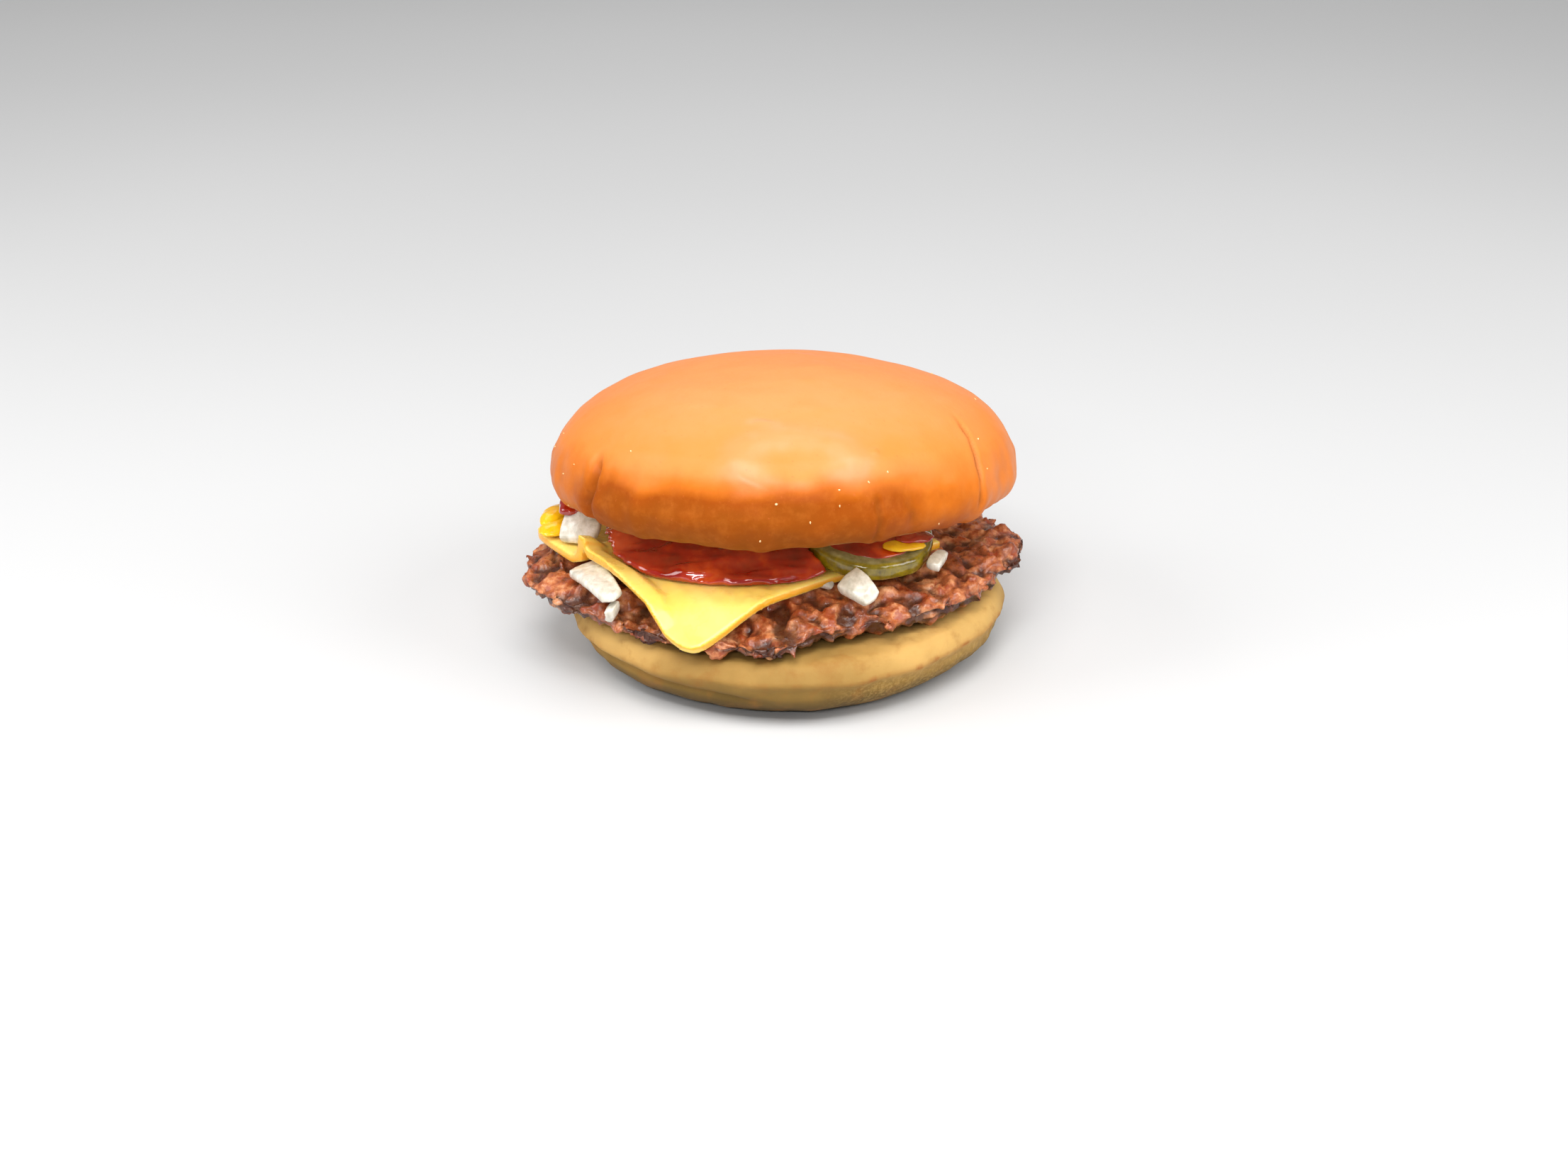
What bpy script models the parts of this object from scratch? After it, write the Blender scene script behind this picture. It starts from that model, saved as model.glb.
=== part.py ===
"""Cheeseburger: a soft bun, beef patty, cheese slice, ketchup, mustard, pickle slice and chopped onion.

Lengths are in millimetres in the formulas and are turned into metres where the meshes are made.
+Z is up, -Y is the front, where a corner of the cheese hangs down, and the origin is the centre of
the heel's flat foot.
"""

import math

import bmesh
import bpy
from mathutils import Euler, Vector, noise

MM = 0.001
GAP = 0.35  # clearance between touching pieces

# Bun
CROWN_RADIUS = 51.0
CROWN_HEIGHT = 24.0  # dome above its widest level
CROWN_CENTRE = Vector((-1.3, 1.2, 40.0))
CROWN_TILT = math.radians(9.5)  # the front is lifted by the filling
CROWN_ROUNDNESS = 2.25  # superellipse exponent of the dome
CUT_RADIUS = 45.5
CUT_HEIGHT = 34.3  # cut face of the crown at the centre
CUT_SLOPE = 0.132
CUT_HOLLOW = 2.6
HEEL_RADIUS = 46.8
HEEL_FOOT = 32.5
HEEL_RIDGE = 10.4  # widest level of the heel
HEEL_RIM = 43.0
HEEL_HEIGHT = 15.2

# Patty
PATTY_THICKNESS = 9.0
PATTY_FLOOR = HEEL_HEIGHT + GAP
PATTY_TOP = PATTY_FLOOR + PATTY_THICKNESS
# Outline radius every 15 degrees from +X: the pressed edge is ragged, with a lobe on each side
PATTY_OUTLINE = (
    53.0, 49.5, 49.0, 48.5, 49.0, 47.0, 47.5, 49.0, 47.5, 48.5, 49.5, 52.5,
    57.5, 58.8, 53.0, 48.8, 47.6, 46.4, 45.8, 40.4, 41.6, 43.6, 46.0, 47.6,
)
FRONT_TAPER = 6.8  # the top slopes down at the front, under the hanging corner of the cheese
FRONT_TAPER_AT = math.radians(-118)
FRONT_TAPER_SPREAD = math.radians(29)

# Cheese slice, lying with one corner to the front
SLICE = 69.0
SLICE_THICKNESS = 2.2
SLICE_CORNER = Vector((-21.2, -51.3))  # the front corner, before it hangs down
SLICE_RIGHT = math.radians(38.5)  # direction of the slice's right-hand edge
SLICE_LEFT = math.radians(126.0)  # direction of its left-hand edge: the soft slice is a little out of square
SLICE_MIDDLE = PATTY_TOP + GAP + SLICE_THICKNESS / 2
# Corner (as shares of the slice), direction inwards, length bent down, bend radius, steepest angle
SLICE_BENDS = (
    ((0, 0), 73.0, 20.0, 10.0, 34.0),
    ((1, 0), -6.5, 4.0, 9.0, 16.0),
)
SLICE_CORNER_CUT = 3.5
PLEAT_AT = 42.5
PLEAT_HALF = 4.5
PLEAT_SLACK = 6.0
PLEAT_RISE = 4.2
PLEAT_FADE = 15.0
ONION_LIFT = 3.6  # the left-hand edge lies over a strip of onion
ONION_LIFT_SPAN = (9.0, 49.0)  # stretch of that edge, from the front corner
ONION_LIFT_DEPTH = 7.0

# Pickle slice
PICKLE_RADIUS = 14.5
PICKLE_THICKNESS = 4.4
PICKLE_CENTRE = Vector((16.5, -15.0, 30.6))
PICKLE_SLOPE = math.radians(10.0)  # it leans off the slice's edge, down to the front right
PICKLE_TURN = Euler((PICKLE_SLOPE * math.cos(SLICE_RIGHT), PICKLE_SLOPE * math.sin(SLICE_RIGHT), 0))

# Ketchup: centre of its pool, and its outline radius every 30 degrees from +X
KETCHUP_CENTRE = Vector((-8.0, -6.0))
KETCHUP_OUTLINE = (36.0, 34.0, 30.0, 28.0, 30.0, 33.0, 31.5, 33.0, 29.2, 27.2, 27.0, 24.5)
KETCHUP_FLOOR = SLICE_MIDDLE + SLICE_THICKNESS / 2 + GAP
KETCHUP_SHELF = 32.6

SLICE_COVER = 1.5  # the ketchup clears the slice's raised edge with this much to spare
ONION_ROUNDNESS = 0.45  # 0 is a sharp slab, 1 an ellipsoid


def smooth(t):
    """0 below 0, 1 above 1, and a smooth step between."""
    t = min(max(t, 0.0), 1.0)
    return t * t * (3 - 2 * t)


def round_curve(values, angle):
    """A smooth closed curve through values, which are spaced evenly round the circle."""
    count = len(values)
    place = (angle / math.tau % 1.0) * count
    index = int(place)
    t = place - index
    a, b, c, d = (values[(index + k) % count] for k in (-1, 0, 1, 2))
    return b + 0.5 * t * (c - a + t * (2 * a - 5 * b + 4 * c - d + t * (3 * (b - c) + d - a)))


def lumps(point, size, seed):
    """Smooth noise from -1 to 1 with lumps of about that size."""
    return noise.noise(Vector(point) / size + Vector((seed, 7.3 * seed, -3.1 * seed)))


def material(name, colour, roughness):
    made = bpy.data.materials.new(name)
    made.use_nodes = True
    shader = made.node_tree.nodes["Principled BSDF"]
    shader.inputs["Base Color"].default_value = (*colour, 1)
    shader.inputs["Roughness"].default_value = roughness
    shader.inputs["Metallic"].default_value = 0
    return made


def add_solid(name, mesh_made, finish, sharp=50.0):
    """Turns a bmesh in millimetres into a named object in metres."""
    bmesh.ops.recalc_face_normals(mesh_made, faces=mesh_made.faces)
    if mesh_made.calc_volume(signed=True) < 0:
        bmesh.ops.reverse_faces(mesh_made, faces=mesh_made.faces)
    bmesh.ops.scale(mesh_made, vec=(MM, MM, MM), verts=mesh_made.verts)
    mesh = bpy.data.meshes.new(name)
    mesh_made.to_mesh(mesh)
    mesh_made.free()
    mesh.shade_smooth()
    mesh.set_sharp_from_angle(angle=math.radians(sharp))
    mesh.materials.append(finish)
    made = bpy.data.objects.new(name, mesh)
    bpy.context.scene.collection.objects.link(made)
    return made


def skin(rings):
    """A closed surface through rings of equally many points. A ring of one point is a pole."""
    made = bmesh.new()
    loops = [[made.verts.new(point) for point in ring] for ring in rings]
    for low, high in zip(loops, loops[1:]):
        count = max(len(low), len(high))
        for i in range(count):
            j = (i + 1) % count
            corners = [low[i % len(low)], low[j % len(low)], high[j % len(high)], high[i % len(high)]]
            made.faces.new(list(dict.fromkeys(corners)))
    return made


def turned(profile, around, place):
    """Rings from a profile of (radius, height), with place(radius, height, angle) giving each point."""
    rings = []
    for radius, height in profile:
        angles = [math.tau * i / around for i in range(around)] if radius else [0.0]
        rings.append([place(radius, height, angle) for angle in angles])
    return rings


# ---- bun -------------------------------------------------------------------------------------------


def arc(start, end, steps, roundness=2.0):
    """Points of a quarter superellipse that leaves start level and reaches end upright."""
    points = []
    for i in range(1, steps + 1):
        a = math.pi / 2 * i / steps
        across = math.sin(a) ** (2 / roundness)
        up = 1 - math.cos(a) ** (2 / roundness)
        points.append((start[0] + (end[0] - start[0]) * across, start[1] + (end[1] - start[1]) * up))
    return points


def heel(finish):
    profile = [(0, 0), (HEEL_FOOT / 2, 0), (HEEL_FOOT, 0)]
    profile += arc((HEEL_FOOT, 0), (HEEL_RADIUS, HEEL_RIDGE), 5)
    rim = arc((HEEL_RIM, HEEL_HEIGHT), (HEEL_RADIUS, HEEL_RIDGE), 4)
    profile += list(reversed(rim[:-1]))
    profile += [(HEEL_RIM, HEEL_HEIGHT), (HEEL_RIM / 2, HEEL_HEIGHT), (0, HEEL_HEIGHT)]

    def place(radius, height, angle):
        share = radius / HEEL_RADIUS
        wave = 0.7 * math.sin(2 * angle + 0.6) + 0.4 * math.sin(5 * angle + 2.0)
        grown = radius + share**4 * wave
        sag = -0.5 * share**6 * (height > 0) * math.sin(3 * angle + 1.0)
        return Vector((grown * math.cos(angle), grown * math.sin(angle), height + sag))

    return add_solid("heel", skin(turned(profile, 56, place)), finish)


def cut_face(x, y):
    """Height of the crown's cut face, which slopes back and is slightly hollow."""
    share = min(math.hypot(x, y) / CUT_RADIUS, 1.0)
    return CUT_HEIGHT - CUT_SLOPE * y + CUT_HOLLOW * (1 - share**2)


def crown(finish):
    dome = arc((0, CROWN_HEIGHT), (CROWN_RADIUS, 0), 10, CROWN_ROUNDNESS)
    turn = Euler((-CROWN_TILT, 0, 0)).to_matrix()
    around = 60

    def widest(angle):
        """Point of the crown's widest level, which is not quite round."""
        wave = 0.5 * math.sin(2 * angle - 0.5) + 0.35 * math.sin(3 * angle + 1.1)
        return CROWN_RADIUS + wave

    def on_dome(radius, height, angle):
        share = radius / CROWN_RADIUS
        grown = share * widest(angle)
        point = Vector((grown * math.cos(angle), grown * math.sin(angle), height))
        point.z += 0.5 * (1 - share**2) * lumps(point, 26, 3)
        return CROWN_CENTRE + turn @ point

    def lower_edge(share, angle):
        """Rounds inwards from the widest level (share 0) to the cut face (share 1)."""
        top = on_dome(CROWN_RADIUS, 0, angle)
        inset = (CROWN_RADIUS - CUT_RADIUS) * (1 - math.cos(share * math.pi / 2))
        x = top.x - inset * math.cos(angle)
        y = top.y - inset * math.sin(angle)
        drop = (top.z - cut_face(x, y)) * math.sin(share * math.pi / 2)
        return Vector((x, y, top.z - drop))

    def on_cut(share, angle):
        edge = lower_edge(1, angle)
        x, y = edge.x * share, edge.y * share
        return Vector((x, y, cut_face(x, y)))

    angles = [math.tau * i / around for i in range(around)]
    rings = [[on_cut(0, 0)]]
    rings += [[on_cut(share, a) for a in angles] for share in (0.35, 0.7)]
    rings += [[lower_edge(share / 5, a) for a in angles] for share in (5, 4, 3, 2, 1)]
    rings += turned(list(reversed(dome)), around, on_dome)
    rings.append([on_dome(0, CROWN_HEIGHT, 0)])
    return add_solid("crown", skin(rings), finish)


# ---- patty -----------------------------------------------------------------------------------------


def patty_lift(x, y):
    """The right-hand lobe curls up and the left-hand one sags a little."""
    return 2.6 * smooth((x - 40) / 14) - 0.6 * smooth((-x - 44) / 12)


def front_taper(radius, angle):
    """How far the top slopes down at the front, where the corner of the cheese hangs over it."""
    aside = (angle - FRONT_TAPER_AT + math.pi) % math.tau - math.pi
    return FRONT_TAPER * smooth((radius - 29) / 15) * math.exp(-((aside / FRONT_TAPER_SPREAD) ** 4))


def patty(finish):
    around = 72
    shares = (0.0, 0.4, 0.7, 0.86, 0.94, 0.98)

    def place(share, side, angle):
        """side is 1 on the top, -1 on the underside and between at the edge."""
        outline = round_curve(PATTY_OUTLINE, angle)
        rough = lumps((20 * math.cos(angle), 20 * math.sin(angle), 0), 1.7, 5)
        radius = share * (outline + share**6 * 1.6 * rough)
        x, y = radius * math.cos(angle), radius * math.sin(angle)
        taper = front_taper(radius, angle)
        thin = 0.36 * taper * share**6
        half = (PATTY_THICKNESS / 2 - thin) * (1 - share**14) ** 0.5
        middle = PATTY_FLOOR + PATTY_THICKNESS / 2 - thin + patty_lift(x, y)
        bump = 0.7 * share**3 * (lumps((x, y, 4 * side), 6.0, 2) - 0.9)
        top_sag = 0.5 * smooth((radius - 30) / 20) + taper * (1 - share**4)
        height = middle + side * half + (bump - top_sag if side > 0 else 0.3 * share**8 * rough)
        return Vector((x, y, height))

    angles = [math.tau * i / around for i in range(around)]
    rings = [[place(0, -1, 0)]]
    rings += [[place(share, -1, a) for a in angles] for share in shares[1:]]
    rings.append([place(1.0, 0, a) for a in angles])
    rings += [[place(share, 1, a) for a in angles] for share in reversed(shares[1:])]
    rings.append([place(0, 1, 0)])
    return add_solid("patty", skin(rings), finish)


# ---- cheese ----------------------------------------------------------------------------------------


def heading(angle):
    """Unit vector in the plan."""
    return Vector((math.cos(angle), math.sin(angle)))


def slice_to_plan(p, q):
    """p runs up the slice's left-hand edge from the front corner, and q along its right-hand edge."""
    return SLICE_CORNER + q * heading(SLICE_RIGHT) + p * heading(SLICE_LEFT)


def onion_lift(p, q):
    """How far the slice is raised by the strip of onion under its left-hand edge."""
    start, end = ONION_LIFT_SPAN
    along = smooth((p - start) / 7) * smooth((end - p) / 5)
    return ONION_LIFT * along * smooth((ONION_LIFT_DEPTH - q) / 6)


def slice_cover(x, y):
    """Height that clears the slice's pleat and raised edge above a place in the plan."""
    right, left = heading(SLICE_RIGHT), heading(SLICE_LEFT)
    out = Vector((x, y)) - SLICE_CORNER
    p = right.cross(out) / right.cross(left)
    q = out.cross(left) / right.cross(left)
    fade = math.exp(-((max(q, 0) / PLEAT_FADE) ** 2))
    low = PLEAT_AT - PLEAT_HALF
    high = PLEAT_AT + PLEAT_HALF - PLEAT_SLACK * fade
    outside = max(low - p, p - high, 0)
    ridge = (PLEAT_RISE + 2 * GAP) * fade**0.9 * (1 - smooth(outside / 4.5))
    return ridge + SLICE_COVER * onion_lift(p, q)


def slice_middle(p, q):
    """Point of the slice's middle surface: flat, with bent corners, a raised edge and a pleat."""
    fade = math.exp(-((q / PLEAT_FADE) ** 2))
    across = (p - PLEAT_AT) / PLEAT_HALF
    folded = p - PLEAT_SLACK * fade * smooth((across + 1) / 2)
    plan = slice_to_plan(folded, q)
    height = SLICE_MIDDLE + onion_lift(p, q)
    if abs(across) < 1:
        height += PLEAT_RISE * fade * math.cos(across * math.pi / 2) ** 2
    for (cp, cq), inwards, length, bend, steepest in SLICE_BENDS:
        diagonal = (slice_to_plan(1 - cp, 1 - cq) - slice_to_plan(cp, cq)).normalized()
        sharp = (abs(p - cp * SLICE) + abs(q - cq * SLICE)) / math.sqrt(2)
        plan = plan + diagonal * (math.hypot(sharp, SLICE_CORNER_CUT) - sharp)
        inward = heading(math.radians(inwards))
        hinge = slice_to_plan(cp * (SLICE - PLEAT_SLACK), cq * SLICE) + inward * length
        over = (hinge - plan).dot(inward)
        if over <= 0:
            continue
        angle = min(over / bend, math.radians(steepest))
        rest = over - angle * bend
        level = bend * math.sin(angle) + rest * math.cos(angle)
        height -= bend * (1 - math.cos(angle)) + rest * math.sin(angle)
        plan = plan + inward * (over - level)
    return Vector((plan.x, plan.y, height))


def cheese(finish):
    steps = 22
    step = 0.05
    sheet = []
    for i in range(steps + 1):
        row = []
        for j in range(steps + 1):
            p, q = SLICE * i / steps, SLICE * j / steps
            here = slice_middle(p, q)
            normal = (slice_middle(p, q + step) - here).cross(slice_middle(p + step, q) - here)
            row.append((here, normal.normalized() * SLICE_THICKNESS / 2))
        sheet.append(row)
    made = bmesh.new()
    top = [[made.verts.new(here + out) for here, out in row] for row in sheet]
    under = [[made.verts.new(here - out) for here, out in row] for row in sheet]
    for i in range(steps):
        for j in range(steps):
            for grid in (top, under):
                made.faces.new((grid[i][j], grid[i][j + 1], grid[i + 1][j + 1], grid[i + 1][j]))
    rim = [(0, j) for j in range(steps)] + [(i, steps) for i in range(steps)]
    rim += [(steps, steps - j) for j in range(steps)] + [(steps - i, 0) for i in range(steps)]
    for (i, j), (k, l) in zip(rim, rim[1:] + rim[:1]):
        made.faces.new((top[i][j], top[k][l], under[k][l], under[i][j]))
    return add_solid("cheese", made, finish)


# ---- toppings --------------------------------------------------------------------------------------


def pickle(finish):
    half = PICKLE_THICKNESS / 2
    profile = [(0, -half), (PICKLE_RADIUS - 1.2, -half), (PICKLE_RADIUS - 0.2, -half + 0.7)]
    profile += [(PICKLE_RADIUS, 0), (PICKLE_RADIUS - 0.2, half - 0.7), (PICKLE_RADIUS - 1.2, half), (0, half)]

    def place(radius, height, angle):
        grown = radius * (1 + 0.012 * math.sin(3 * angle) + 0.008 * math.sin(7 * angle))
        flat = Vector((grown * math.cos(angle), grown * math.sin(angle), height))
        return PICKLE_CENTRE + PICKLE_TURN.to_matrix() @ flat

    return add_solid("pickle", skin(turned(profile, 32, place)), finish)


def pickle_hollow():
    """Cutter a little larger than the pickle, for the ketchup that lies over it."""
    bpy.ops.mesh.primitive_cylinder_add(
        vertices=32,
        radius=(PICKLE_RADIUS + 2 * GAP) * MM,
        depth=(PICKLE_THICKNESS + 2 * GAP) * MM,
        location=PICKLE_CENTRE * MM,
        rotation=PICKLE_TURN,
    )
    cutter = bpy.context.object
    cutter.name = "pickle_hollow"
    cutter.hide_render = True
    cutter.display_type = "WIRE"
    return cutter


def ketchup(finish):
    around = 40
    shares = (0.0, 0.45, 0.75, 0.92)

    def place(share, side, angle):
        radius = share * round_curve(KETCHUP_OUTLINE, angle)
        x = KETCHUP_CENTRE.x + radius * math.cos(angle)
        y = KETCHUP_CENTRE.y + radius * math.sin(angle)
        floor = KETCHUP_FLOOR + slice_cover(x, y)
        if side < 0:
            return Vector((x, y, floor))
        ceiling = min(cut_face(x, y) - GAP, KETCHUP_SHELF + 0.3 * lumps((x, y, 0), 9, 8))
        thick = max(ceiling - floor, 1.0) * (1 - share**4) ** 0.5
        return Vector((x, y, floor + thick))

    angles = [math.tau * i / around for i in range(around)]
    rings = [[place(0, -1, 0)]]
    rings += [[place(share, -1, a) for a in angles] for share in shares[1:]]
    rings.append([place(1.0, -1, a) for a in angles])
    rings += [[place(share, 1, a) for a in angles] for share in (0.985, 0.92, 0.75, 0.45)]
    rings.append([place(0, 1, 0)])
    made = add_solid("ketchup", skin(rings), finish)
    cut = made.modifiers.new("pickle", "BOOLEAN")
    cut.operation = "DIFFERENCE"
    cut.object = pickle_hollow()
    return made


def blob(name, centre, size, turn, finish):
    """A smooth squeezed drop, flat on its underside."""
    made = bmesh.new()
    bmesh.ops.create_icosphere(made, subdivisions=2, radius=1.0)
    spin = Euler(tuple(math.radians(a) for a in turn)).to_matrix()
    for vert in made.verts:
        point = vert.co.copy()
        point.z = max(point.z, -0.6)
        grown = 1 + 0.12 * lumps(point, 0.8, 4)
        vert.co = Vector(centre) + spin @ Vector([c * s / 2 * grown for c, s in zip(point, size)])
    return add_solid(name, made, finish)


def onion(name, centre, size, turn, bend, taper, finish):
    """A chopped piece of onion layer: a curved slab with soft corners, narrower at its far end.

    bend is its arc in degrees, and taper the share of its width lost from its middle to the far end.
    """
    made = bmesh.new()
    bmesh.ops.create_cube(made, size=2.0)
    bmesh.ops.subdivide_edges(made, edges=made.edges, cuts=3, use_grid_fill=True)
    spin = Euler(tuple(math.radians(a) for a in turn)).to_matrix()
    length, width, thick = size
    radius = length / math.radians(bend)
    for vert in made.verts:
        ball = vert.co.normalized() * 1.08
        x, y, z = vert.co.lerp(ball, ONION_ROUNDNESS)
        angle = x * math.radians(bend) / 2
        reach = radius + z * thick / 2 * (1 - 0.25 * taper * x)
        across = y * width / 2 * (1 - taper * x)
        point = Vector((reach * math.sin(angle), across, reach * math.cos(angle) - radius))
        vert.co = Vector(centre) + spin @ point
    return add_solid(name, made, finish)


def clear_scene():
    for old in list(bpy.data.objects):
        bpy.data.objects.remove(old)


def main():
    clear_scene()
    bun = material("bun_crust", (0.78, 0.40, 0.13), 0.42)
    crumb = material("bun_side", (0.74, 0.55, 0.28), 0.8)
    beef = material("beef", (0.25, 0.10, 0.06), 0.45)
    yellow = material("cheese", (0.95, 0.65, 0.09), 0.35)
    red = material("ketchup", (0.42, 0.025, 0.01), 0.18)
    mustard = material("mustard", (0.92, 0.62, 0.01), 0.3)
    green = material("pickle", (0.19, 0.18, 0.02), 0.25)
    white = material("onion", (0.80, 0.76, 0.68), 0.35)
    heel(crumb)
    crown(bun)
    patty(beef)
    cheese(yellow)
    pickle(green)
    ketchup(red)
    blob("mustard_left", (-51.2, 0.5, 29.2), (6.0, 12.0, 3.4), (0, -6, -14), mustard)
    blob("mustard_right", (24.4, -22.2, 31.95), (11.0, 4.8, 1.9), (7.8, 6.2, 22), mustard)
    onion("onion_left", (-44.6, -9.6, 31.1), (8.6, 8.0, 3.4), (42, 0, -20), 40, 0.12, white)
    onion("onion_strip", (-40.5, -26.0, 26.0), (18.0, 6.4, 2.5), (-12, 0, 116), 34, -0.2, white)
    onion("onion_front", (14.8, -34.6, 27.7), (8.0, 5.8, 3.5), (30, 22, -40), 55, 0.25, white)
    onion("onion_right", (31.6, -21.8, 28.6), (6.2, 3.0, 2.6), (10, -8, 62), 40, 0.2, white)


main()
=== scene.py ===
"""Looks for the cheeseburger: bread, beef, cheese, sauces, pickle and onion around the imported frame.

Formulas are in millimetres, as in the part's source, and are turned into metres on the meshes.
"""

import math
import random

import bmesh
import bpy
import numpy as np
from mathutils import Euler, Matrix, Vector, noise

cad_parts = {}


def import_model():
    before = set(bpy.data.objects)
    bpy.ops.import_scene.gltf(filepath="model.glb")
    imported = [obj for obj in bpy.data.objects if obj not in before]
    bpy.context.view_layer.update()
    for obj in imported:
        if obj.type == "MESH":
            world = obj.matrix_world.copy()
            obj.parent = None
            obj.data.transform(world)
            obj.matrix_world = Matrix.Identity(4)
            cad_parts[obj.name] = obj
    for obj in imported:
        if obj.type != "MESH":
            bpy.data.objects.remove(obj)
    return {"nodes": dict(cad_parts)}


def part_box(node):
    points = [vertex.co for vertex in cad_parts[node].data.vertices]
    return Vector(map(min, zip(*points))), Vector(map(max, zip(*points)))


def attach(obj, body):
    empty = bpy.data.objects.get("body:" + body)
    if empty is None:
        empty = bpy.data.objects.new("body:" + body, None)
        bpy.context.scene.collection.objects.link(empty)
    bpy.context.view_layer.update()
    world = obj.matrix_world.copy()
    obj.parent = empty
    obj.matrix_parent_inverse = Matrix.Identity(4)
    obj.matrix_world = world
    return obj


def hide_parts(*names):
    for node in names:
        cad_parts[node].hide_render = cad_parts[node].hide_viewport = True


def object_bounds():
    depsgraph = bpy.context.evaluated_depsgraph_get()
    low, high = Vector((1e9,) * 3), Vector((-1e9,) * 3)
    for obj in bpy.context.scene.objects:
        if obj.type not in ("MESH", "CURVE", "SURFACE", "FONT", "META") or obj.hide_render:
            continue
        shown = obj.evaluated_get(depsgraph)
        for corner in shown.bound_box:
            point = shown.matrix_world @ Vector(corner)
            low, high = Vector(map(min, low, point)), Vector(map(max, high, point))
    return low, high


MM = 0.001
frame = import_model()
cad_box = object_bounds()
RNG = random.Random(7)


# ---- small maths -----------------------------------------------------------------------------------


def smooth(t):
    """0 below 0, 1 above 1, and a smooth step between; works on arrays."""
    t = np.clip(t, 0.0, 1.0)
    return t * t * (3 - 2 * t)


def hump(d, width):
    """1 where d is 0, falling off evenly to both sides over about that width."""
    return np.exp(-((d / width) ** 2))


def noise_at(points, size, seed, octaves=1, rough=0.5):
    """Noise of about -1 to 1 at each point, with lumps of that size."""
    shift = Vector((seed * 1.7, -seed * 2.3, seed * 0.9))
    if octaves == 1:
        return np.array([noise.noise(Vector(p) / size + shift) for p in points])
    total, weight, share = 0.0, 0.0, 1.0
    for k in range(octaves):
        total = total + share * noise_at(points, size / 2**k, seed + 11 * k)
        weight += share
        share *= rough
    return total / weight


def cell_gap(points, size, seed):
    """How much farther the second nearest cell centre is than the nearest, in cells of that size."""
    shift = Vector((seed * 3.1, seed * 1.9, -seed * 2.7))
    gap = np.empty(len(points))
    for i, p in enumerate(points):
        near, next_near = noise.voronoi(Vector(p) / size + shift)[0][:2]
        gap[i] = next_near - near
    return gap


def to_path(points, path):
    """(distance to a polyline, share of the way along it) at each point."""
    path = np.array(path, float)
    lengths = np.linalg.norm(np.diff(path, axis=0), axis=1)
    starts = np.concatenate([[0], np.cumsum(lengths)])
    best = np.full(len(points), np.inf)
    along = np.zeros(len(points))
    for a, b, length, start in zip(path, path[1:], lengths, starts):
        t = np.clip((points - a) @ (b - a) / length**2, 0, 1)
        d = np.linalg.norm(points - (a + t[:, None] * (b - a)), axis=1)
        closer = d < best
        best[closer] = d[closer]
        along[closer] = (start + t[closer] * length) / starts[-1]
    return best, along


def on_circle(x, y, radius=20):
    """Each point's direction from the axis, as a point on a circle, for noise that only runs round."""
    angle = np.arctan2(y, x)
    return np.stack([radius * np.cos(angle), radius * np.sin(angle), 0 * angle], axis=1)


def rotation(degrees):
    return np.array(Euler([math.radians(a) for a in degrees]).to_matrix())


# ---- meshes ----------------------------------------------------------------------------------------


def link(name, mesh):
    made = bpy.data.objects.new(name, mesh)
    bpy.context.scene.collection.objects.link(made)
    return made


def from_bmesh(name, source):
    """A new object from a bmesh, which it frees."""
    mesh = bpy.data.meshes.new(name)
    source.to_mesh(mesh)
    source.free()
    return link(name, mesh)


def apply_modifiers(made):
    graph = bpy.context.evaluated_depsgraph_get()
    mesh = bpy.data.meshes.new_from_object(made.evaluated_get(graph))
    made.modifiers.clear()
    made.data = mesh
    return made


def remeshed(made, voxel, rounds):
    """Rebuilds a closed mesh in even small quads and rounds its facets off."""
    mod = made.modifiers.new("remesh", "REMESH")
    mod.mode = "VOXEL"
    mod.voxel_size = voxel * MM
    soften = made.modifiers.new("soften", "SMOOTH")
    soften.factor = 0.5
    soften.iterations = rounds
    return apply_modifiers(made)


def from_node(node, name, voxel, rounds):
    """A finer copy of a CAD node."""
    return remeshed(link(name, frame["nodes"][node].data.copy()), voxel, rounds)


def middle_of(node):
    """The middle of a CAD node's box, in mm."""
    low, high = (np.array(corner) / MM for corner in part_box(node))
    return (low + high) / 2


def read(made):
    """(points in mm, unit normals) of the mesh."""
    mesh = made.data
    points = np.empty(len(mesh.vertices) * 3)
    mesh.vertices.foreach_get("co", points)
    normals = np.empty(len(mesh.vertices) * 3)
    mesh.vertex_normals.foreach_get("vector", normals)
    return points.reshape(-1, 3) / MM, normals.reshape(-1, 3)


def write(made, points):
    """Moves the mesh's points, kept inside the CAD model's own box."""
    low, high = (np.array(corner) / MM for corner in cad_box)
    points = np.clip(points, low, high)
    made.data.vertices.foreach_set("co", (points * MM).ravel())
    made.data.update()


def paint(made, name, values):
    """A number for each point, for the material to read."""
    layer = made.data.attributes.new(name, "FLOAT", "POINT")
    layer.data.foreach_set("value", np.asarray(values, np.float32))


def finish_piece(made, finish, slot, *nodes):
    """Gives the piece its material, and lets it stand in for the nodes. Its slot is not used."""
    made.data.materials.clear()
    made.data.materials.append(finish)
    made.data.shade_smooth()
    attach(made, "root")
    if nodes:
        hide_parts(*nodes)
    return made


# ---- materials -------------------------------------------------------------------------------------


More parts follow.
